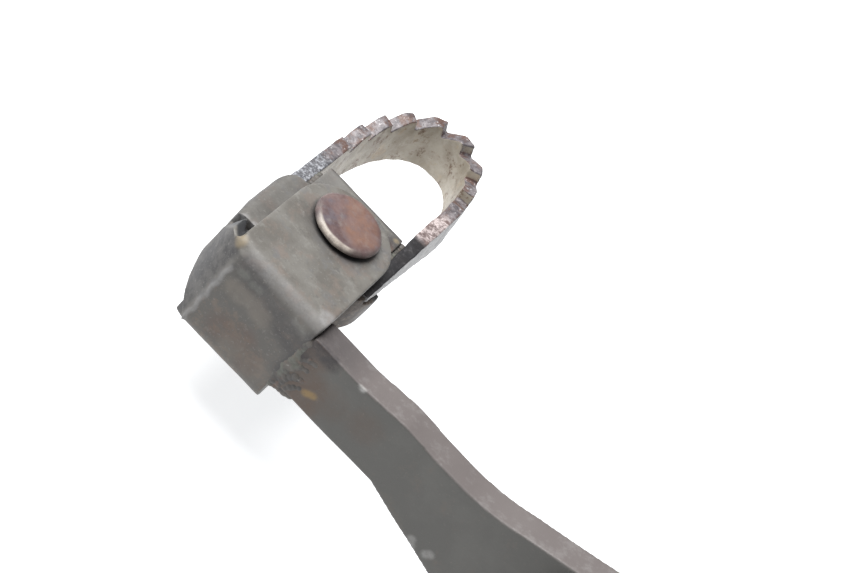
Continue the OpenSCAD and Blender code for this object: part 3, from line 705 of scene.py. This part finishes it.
def clevis_bead():
    low, high = extent("clevis_weld")
    face = high.x - low.x
    top, bottom = high.z - 1.5, low.z + 1.7
    left = low.x + 1.9
    y = low.y + 1.6
    lines = [
        [(left - 0.3, y, top), (left - 0.2, y, (top + bottom) / 2), (left - 0.2, y, bottom)],
        [(left + 0.9, y + 0.4, bottom + 0.2), (low.x + 0.72 * face, y + 0.5, bottom + 0.8)],
        [(low.x + 1.5, high.y - 1.4, top - 0.5), (low.x + 1.5, high.y - 1.4, bottom + 3)],
        [(left, y, top - 0.1), (low.x + 1.6, high.y - 1.4, top - 0.1)],
        [(11.7, y, -14), (12.6, y - 0.1, -10.8), (15.0, y - 0.08, -8.2), (17.4, y + 0.1, -7.7)],
        [(13.6, y, -18.6), (13.9, y - 0.1, -16), (15.2, y - 0.1, -14), (17.4, y + 0.1, -12.9)],
        [(12.6, y, -17), (12.9, y - 0.04, -13.5), (14.6, y - 0.05, -11), (17.2, y + 0.1, -10.2)],
        [(15.4, y, -18), (16.4, y, -16.2), (17.4, y + 0.1, -15.4)],
    ]
    zero = tip(0, 0, 0) / MM
    lines = [[tuple(Vector(q) + zero) for q in line] for line in lines]
    return bead("clevis_bead", "clevis_weld", lines, 1.45, 1.1, 0.18, SEED)


# ------------------------------------------------------------------ tip bracket
def tip_shell():
    obj = worn_copy("tip_shell", "tip_bracket", 0.30, 6)
    roughen(obj, 5.0, 0.10, SEED + 1)
    low, high = extent("tip_bracket")
    p, n = tip_mm(co_of(obj.data)), normals_of(obj.data)
    x, y, z = p.T
    # Painted shade along the plate's rounded front edge; edge wear is held back there.
    front_edge_shade = ramp(y, high.y - 1.4, high.y - 0.3) * ramp(n[:, 1] + 0.6 * n[:, 2], 0.2, 0.5)
    skirt = ramp(x, 2.5, 6) * ramp(-y, 0, 5)
    weld_corner = near(p, [(9.4, 15.5, high.z), (8.8, 14.5, high.z)], 3.0)
    left_corner = near(p, [(-10.5, 15, high.z), (-11.5, 11, high.z), (-12, 8, high.z)], 4.0)
    # Painted shade inside the channel, under its top plate.
    shaded_inside = ramp(high.z - z, 2.6, 3.4) * ramp(x - low.x, 1.5, 2.6) * (1 - skirt)
    # Painted shadow of the ear on the skirt's top, near the rivet.
    shadow_under_ear = skirt * ramp(n[:, 2], 0.5, 0.9) * (1 - ramp(np.hypot(x, y), 13.0, 14.6))
    wing_edge = [(-17.3, -15.8, -6), (-15.5, -16, -4.6), (-13, -16, -4.1), (-11, -16, -4.1)]
    # Painted shade on the wing, darker on its side faces than on its upward faces.
    wing_shade = ramp(-x, 9, 12) * (1 - ramp(y, 5, 9)) * (0.40 + 0.40 * ramp(-n[:, 2], -0.9, -0.4))
    paint(
        obj,
        edge=edge_wear(obj.data) * (1 - 0.8 * front_edge_shade),
        brown=skirt,
        rust=np.maximum(skirt * 0.6, near(p, [(8.5, 12, high.z), (9, 9, high.z)], 3.0) * 0.5),
        dark=np.maximum.reduce([front_edge_shade, weld_corner * 0.8, left_corner * 0.4, shadow_under_ear * 0.9]),
        lee=wing_shade,
        pale=ramp(n[:, 2], 0.6, 0.9) * (1 - ramp(x, 2, 8)) * (1 - front_edge_shade) * ramp(y, 6, 9) * 0.7,
        crust=skirt * (1 - shadow_under_ear * 0.7),
        light=near(p, wing_edge, 1.6) * 0.9,
        yellow=near(p, [(9.0, 15.6, high.z)], 1.1),
        soot=shaded_inside,
    )
    return install(obj, "tip_bracket")


def band_loop():
    obj = worn_copy("band_loop", "serrated_band", 0.27, 5)
    roughen(obj, 3.0, 0.14, SEED + 2)
    low, high = extent("serrated_band")
    p, n = tip_mm(co_of(obj.data)), normals_of(obj.data)
    x, y = p[:, 0], p[:, 1]
    middle = (low.x + high.x) / 2
    straight = 38.0
    inward = np.stack([middle - x, np.minimum(y, straight) - y], 1)   # from the wall to the loop's hole
    inward /= np.maximum(np.linalg.norm(inward, axis=1), 1e-6)[:, None]
    facing_in = (n[:, :2] * inward).sum(1)
    upward = n[:, 2]
    left_leg = ramp(-x, 10, 11.5) * (1 - ramp(y, 22, 26))
    right_leg = ramp(x, 9, 10.5)
    paint(
        obj,
        inner=ramp(facing_in, 0.05, 0.45),
        crest=ramp(upward, 0.25, 0.55),
        bluish=left_leg * ramp(upward, 0.2, 0.5),
        pinkish=right_leg * ramp(y, 20, 24) * (1 - ramp(y, 33, 38)) * ramp(upward, 0.2, 0.5),
        # Near-black on the right leg's end by the clevis: its dark paint, deepened with painted shade.
        soot=right_leg * (1 - ramp(y, 19, 25)) * ramp(np.maximum(upward, facing_in), 0.2, 0.5),
        edge=edge_wear(obj.data, 2, 0.10, 0.30),
    )
    return install(obj, "serrated_band")


def band_bead(side):
    node = "band_weld_" + side
    low, high = (v + tip(0, 0, 0) / MM for v in extent(node))
    x, z = (low.x + high.x) / 2, (low.z + high.z) / 2
    r = (high.z - low.z) / 2
    line = [(x, low.y + r, z), (x, high.y - r, z)]
    return bead("band_bead_" + side, node, [line], r * 0.98, 1.3, 0.16, SEED + len(side))


# ------------------------------------------------------------------ rivet, washers, sleeve, spring
SHANK_R = 5.0
TURNING_BORE_R = 5.1   # of the washers and the sleeve


def rivet():
    low, high = extent("pivot_rivet")
    r, top = high.x, high.z
    washer_low = extent("rivet_washer")[0].z
    outline = [
        (0.02, low.z), (SHANK_R, low.z), (7.0, low.z + 0.7), (7.6, washer_low - 0.5), (7.6, washer_low),
        (SHANK_R, washer_low), (SHANK_R, 0.0), (6.3, 0.0), (6.7, 0.45), (r - 0.35, 0.62), (r, 0.95),
        (r, top - 0.75), (r - 0.55, top - 0.18), (r - 1.3, top - 0.03), (2.0, top), (0.02, top),
    ]
    obj = turned("rivet", BODY_OF["pivot_rivet"], TIP_FRAME, outline, 160, False, 0.5)
    obj = baked(obj, ("SUBSURF", {"subdivision_type": "SIMPLE", "levels": 1}))
    roughen(obj, 2.6, 0.10, SEED + 3)
    p = tip_mm(co_of(obj.data))
    x, y, z = p.T
    radius = np.hypot(x, y)
    head = ramp(z, 0.2, 0.6)
    bevel = head * ramp(radius, r - 1.25, r - 0.7)
    # Painted highlight: the bevel's worn rim is made pale on its -y side.
    highlight_side = ramp(-y, 2.5, 5.5) * (1 - ramp(np.abs(x + 0.6), 3.2, 6.0))
    paint(
        obj,
        orange=near(p, [(-1.0, 4.6, top), (2.4, 2.8, top), (3.8, 0.4, top), (2.5, -1.5, top)], 5.0) * 0.8,
        rim=bevel,
        light=bevel * highlight_side,
    )
    return install(obj, "pivot_rivet")


def washer(node):
    low, high = extent(node)
    outline = ring_outline(high.x, TURNING_BORE_R, low.z, high.z)
    obj = turned(node + "_ring", BODY_OF[node], TIP_FRAME, outline, 96, True, 0.22)
    return install(obj, node)


def sleeve():
    low, high = extent("pivot_sleeve")
    outline = ring_outline(high.x, TURNING_BORE_R, low.z, high.z)
    obj = turned("sleeve_tube", BODY_OF["pivot_sleeve"], TIP_FRAME, outline, 96, True, 0.35)
    return install(obj, "pivot_sleeve")


def ring_bead(name, node, place, r_in, low, high, seed):
    """A fillet bead round a tube, with the ripples that its drops leave."""
    rng = np.random.default_rng(seed)
    reach = np.array([1.0, 0.86, 0.62, 0.36, 0.0])
    ripples = 26 + int(rng.integers(0, 5))
    phase = rng.uniform(0, 2 * math.pi)

    def loop(step):
        def at(angle):
            wave = 0.07 * math.sin(ripples * angle + phase) + 0.05 * math.sin(3 * angle + 2 * phase)
            out = r_in + (high[0] - r_in) * reach[step] * (0.88 + wave) if step < 4 else r_in
            rise = step / 4 * (0.90 + wave)
            return out, low + (high[1] - low) * rise
        return at

    loops = [loop(i) for i in range(5)]
    loops += [lambda a: (r_in - 0.4, high[1] * 0.5 + low * 0.5), lambda a: (r_in - 0.4, low)]
    obj = spun(name, BODY_OF[node], place, loops, 240, True)
    return install(baked(obj, ("SUBSURF", {"levels": 1})), node)


def sleeve_bead():
    low, high = extent("sleeve_weld")
    r = extent("pivot_sleeve")[1].x
    return ring_bead("sleeve_bead", "sleeve_weld", TIP_FRAME, r, high.z, (high.x, low.z), SEED + 5)


def spring_wire():
    low, high = extent("torsion_spring")
    wire_r = 1.2
    coil_r = high.x - wire_r
    bottom, top = low.z + wire_r, high.z - wire_r
    turns, steps = 3, 56
    path = [Vector((-coil_r, low.y * k, bottom)) for k in (1, 0.66, 0.33)]
    for i in range(turns * steps + 1):
        angle = math.pi - 2 * math.pi * i / steps
        height = bottom + (top - bottom) * i / (turns * steps)
        path.append(Vector((coil_r * math.cos(angle), coil_r * math.sin(angle), height)))
    path += [Vector((-coil_r, high.y * k / 4, top)) for k in (1, 2, 3, 4)]
    bm = bmesh.new()
    sides, rings = 16, []
    for i, spot in enumerate(path):
        ahead = (path[min(i + 1, len(path) - 1)] - path[max(i - 1, 0)]).normalized()
        across = Vector((0, 0, 1)).cross(ahead).normalized()
        over = ahead.cross(across)
        size = wire_r * (0.86 if i in (0, len(path) - 1) else 0.99)
        ring = []
        for k in range(sides):
            angle = 2 * math.pi * k / sides
            outward = math.cos(angle) * across + math.sin(angle) * over
            ring.append(bm.verts.new(TIP_FRAME @ (spot + size * outward)))
        rings.append(ring)
    for a, b in zip(rings, rings[1:]):
        for k in range(sides):
            n = (k + 1) % sides
            bm.faces.new((a[k], a[n], b[n], b[k]))
    bm.faces.new(rings[0])
    bm.faces.new(rings[-1])
    bmesh.ops.recalc_face_normals(bm, faces=bm.faces)
    obj = as_object("spring_wire", bm)
    install(obj, "torsion_spring")
    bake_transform(obj)
    return obj


# ------------------------------------------------------------------ lever arm and main pivot
def arm_plate():
    obj = worn_copy("arm_plate", "lever_arm", 0.42, 4)
    points = co_of(obj.data)
    points[:, 0] -= 0.15 * MM * (1 - ramp(tip_mm(points)[:, 0], 13, 16))
    move_to(obj.data, points)
    roughen(obj, 9.0, 0.12, SEED + 6)
    face_y = extent("lever_arm")[0].y
    p, n = tip_mm(co_of(obj.data)), normals_of(obj.data)
    x = p[:, 0]
    joint_line = [(13, face_y, -v) for v in range(5, 19, 2)] + [(18, face_y, -14), (18, face_y, -17)]
    weld_zone = near(p, joint_line, 8.0)
    # Painted shade in the crevice where the arm meets the clevis.
    crevice_shade = near(p, [(v, face_y, -4.4) for v in np.arange(12, 19, 0.7)] + [(13, face_y, -8)], 3.0)
    chips = near(p, [(25.8, face_y, -3.2), (26.4, face_y, -3.5)], 1.0)
    smudge_at = [(56.3, face_y, -23.0), (55.6, face_y, -21.8), (59.8, face_y, -22.0), (60.4, face_y, -21.2)]
    smudges = near(p, smudge_at, 1.5)
    stain = near(p, [(24, face_y, -12), (32, face_y, -10)], 6)
    edge = edge_wear(obj.data)
    near_face = ramp(-n[:, 1], 0.1, 0.6)
    paint(
        obj,
        top=ramp(n[:, 2], 0.45, 0.8),
        edge=edge * (0.45 + 0.55 * ramp(x, 38, 60)),
        rust=np.maximum(weld_zone * 0.75, stain * 0.35) * near_face,
        dark=np.maximum(crevice_shade * 0.95, ramp(n[:, 2], 0.45, 0.8) * (1 - ramp(x, 17, 28)) * 0.6),
        yellow=near(p, [(18.9, face_y, -15.0), (19.6, face_y, -14.5), (20.4, face_y, -14.1)], 1.3),
        light=np.maximum(chips, smudges * 0.62),
    )
    return install(obj, "lever_arm")


def paint_plain(obj, top):
    """The arm paint's zones on a piece outside the photo: worn edges, a little rust and no marks."""
    zero = np.zeros(len(top))
    paint(obj, edge=edge_wear(obj.data), top=top, rust=zero + 0.2, dark=zero, yellow=zero, light=zero)


def plain_copy(name, node, voxel, rounds, seed):
    obj = roughen(worn_copy(name, node, voxel, rounds), 4.0, 0.14, seed)
    # Lighter upward faces: painted light from above.
    paint_plain(obj, ramp(normals_of(obj.data)[:, 2], 0.45, 0.8) * 0.6)
    return install(obj, node)


BUSH_BORE_R = 7.5


def pivot_size(node):
    """Outer radius and the two ends along the main pivot, in millimetres."""
    low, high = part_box(node)
    return high.x / MM, low.y / MM, high.y / MM


def pivot_ring(name, node, r_in, ease):
    r, low, high = pivot_size(node)
    return turned(name, BODY_OF[node], PIVOT_FRAME, ring_outline(r, r_in, low, high), 128, True, ease)


def pivot_pipe():
    r_in = pivot_size("bush_outboard")[0]
    obj = pivot_ring("pivot_pipe", "pivot_tube", r_in, 0.7)
    obj = baked(obj, ("SUBSURF", {"subdivision_type": "SIMPLE", "levels": 1}))
    # The pipe's upper side made lighter: painted light from above.
    paint_plain(obj, ramp(normals_of(obj.data)[:, 2], 0.5, 0.9) * 0.5)
    return install(obj, "pivot_tube")


def seal(side):
    """A pressed ring with a thin lip that leans towards the shaft."""
    node = "seal_" + side
    r, low, high = pivot_size(node)
    out, inner = (high, low) if side == "outboard" else (low, high)
    depth = inner - out
    outline = [
        (r, out), (r, inner), (r - 0.9, inner), (r - 0.9, out + 0.55 * depth), (7.9, out + 0.5 * depth),
        (7.7, out + 0.15 * depth), (8.1, out + 0.12 * depth), (8.5, out + 0.32 * depth),
        (r - 0.5, out + 0.28 * depth), (r - 0.4, out),
    ]
    obj = turned("seal_ring_" + side, BODY_OF[node], PIVOT_FRAME, outline, 128, True, 0.15)
    return install(obj, node)


def tube_bead(name, node, seed):
    r_out, low, high = pivot_size(node)
    tube_r = pivot_size("pivot_tube")[0]
    near_end, far_end = (low, high) if abs(low) < abs(high) else (high, low)
    return ring_bead(name, node, PIVOT_FRAME, tube_r, near_end, (r_out, far_end), seed)


def line_bead(name, node, seed, upright):
    """Two straight beads side by side in one node."""
    low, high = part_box(node)
    low, high = low / MM, high / MM
    if upright:
        r = (high.y - low.y) / 2
        y = (low.y + high.y) / 2
        lines = [[(x, y, low.z + r), (x, y, high.z - r)] for x in (low.x + r, high.x - r)]
    else:
        r = (high.z - low.z) / 2
        z = (low.z + high.z) / 2
        lines = [[(low.x + r, y, z), (high.x - r, y, z)] for y in (low.y + r, high.y - r)]
    return bead(name, node, lines, r * 0.97, r * 0.8, 0.16, seed)


# ------------------------------------------------------------------ stop bolt
THREAD_PITCH = 1.0
THREAD_DEPTH = 0.55


def hex_radius(angle, flat):
    """Distance from the axis to a hexagon's side; flat is half of its width across the flats."""
    sector = math.pi / 3
    return flat / math.cos((angle % sector) - sector / 2)


def thread_radius(angle, height, r):
    turn = (height / THREAD_PITCH - angle / (2 * math.pi)) % 1.0
    return r - THREAD_DEPTH * abs(2 * turn - 1) ** 0.8


def hexagon(low, high):
    """An upright hexagon's place, its ends and half of its width across the flats, from its box."""
    centre = (low + high) / 2
    place = Matrix.Translation((centre.x, centre.y, 0)) @ Matrix.Scale(MM, 4)
    return place, low.z / MM, high.z / MM, (high.y - low.y) / 2 / MM


def bolt():
    place, z0, z1, flat = hexagon(*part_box("stop_bolt"))
    r, head_h, chamfer = 3.0, 4.0, 0.6
    loops = [lambda a: (0.02, z0), lambda a: (flat * 0.93, z0)]
    for k in range(5):
        h = z0 + 0.10 + 0.14 * k
        loops.append(lambda a, h=h: (min(hex_radius(a, flat), flat * 0.95 + (h - z0) * 1.7), h))
    loops.append(lambda a: (hex_radius(a, flat) * 0.998, z0 + head_h - 0.1))
    loops.append(lambda a: (hex_radius(a, flat) * 0.985, z0 + head_h))
    loops.append(lambda a: (r + 0.15, z0 + head_h))
    step = THREAD_PITCH / 10
    for k in range(int((z1 - z0 - head_h - 0.3) / step)):
        h = z0 + head_h + 0.2 + k * step
        taper = max(0.0, h - (z1 - chamfer - 0.2))
        loops.append(lambda a, h=h, t=taper: (thread_radius(a, h, r) - t, h))
    loops.append(lambda a: (r - chamfer - THREAD_DEPTH, z1))
    loops.append(lambda a: (0.02, z1))
    return install(spun("bolt", BODY_OF["stop_bolt"], place, loops, 72), "stop_bolt")


def locknut():
    place, z0, z1, flat = hexagon(*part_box("stop_locknut"))
    bore, levels = 3.08, 5
    loops = [lambda a: (bore + 0.4, z0), lambda a: (flat * 0.93, z0)]
    for k in range(levels):
        h = 0.10 + 0.14 * k
        loops.append(lambda a, h=h: (min(hex_radius(a, flat), flat * 0.95 + h * 1.7), z0 + h))
    for k in range(levels - 1, -1, -1):
        h = 0.10 + 0.14 * k
        loops.append(lambda a, h=h: (min(hex_radius(a, flat), flat * 0.95 + h * 1.7), z1 - h))
    loops += [lambda a: (flat * 0.93, z1), lambda a: (bore + 0.4, z1)]
    loops += [lambda a: (bore, z1 - 0.4), lambda a: (bore, z0 + 0.4)]
    return install(spun("locknut", BODY_OF["stop_locknut"], place, loops, 72, True), "stop_locknut")


# ------------------------------------------------------------------ build everything
bpy.context.scene.view_settings.view_transform = "Standard"
add_world((1.0, 1.0, 1.0), SKY_STRENGTH)
add_camera()
add_floor()
add_lamp("key", KEY_AT, KEY_TARGET, KEY_SIZE, KEY_WATTS, (1.0, 0.995, 0.985))

clevis_shell()
clevis_bead()
tip_shell()
band_loop()
for side in ("left", "right"):
    band_bead(side)
rivet()
for node in ("rivet_washer", "thrust_washer_upper", "thrust_washer_lower"):
    washer(node)
sleeve()
sleeve_bead()
spring_wire()
arm_plate()
pivot_pipe()
for side in ("outboard", "inboard"):
    install(pivot_ring("bush_ring_" + side, "bush_" + side, BUSH_BORE_R, 0.5), "bush_" + side)
    seal(side)
    tube_bead("tube_bead_" + side, "tube_weld_" + side, SEED + len(side))
tube_bead("pushrod_lever_bead", "pushrod_lever_weld", SEED + 9)
plain_copy("pushrod_plate", "pushrod_lever", 0.40, 4, SEED + 10)
plain_copy("spring_eye_tab", "spring_tab", 0.25, 3, SEED + 11)
line_bead("spring_tab_bead", "spring_tab_weld", SEED + 12, upright=False)
plain_copy("stop_block", "stop_lug", 0.28, 4, SEED + 13)
line_bead("stop_lug_bead", "stop_lug_weld", SEED + 14, upright=True)
bolt()
locknut()
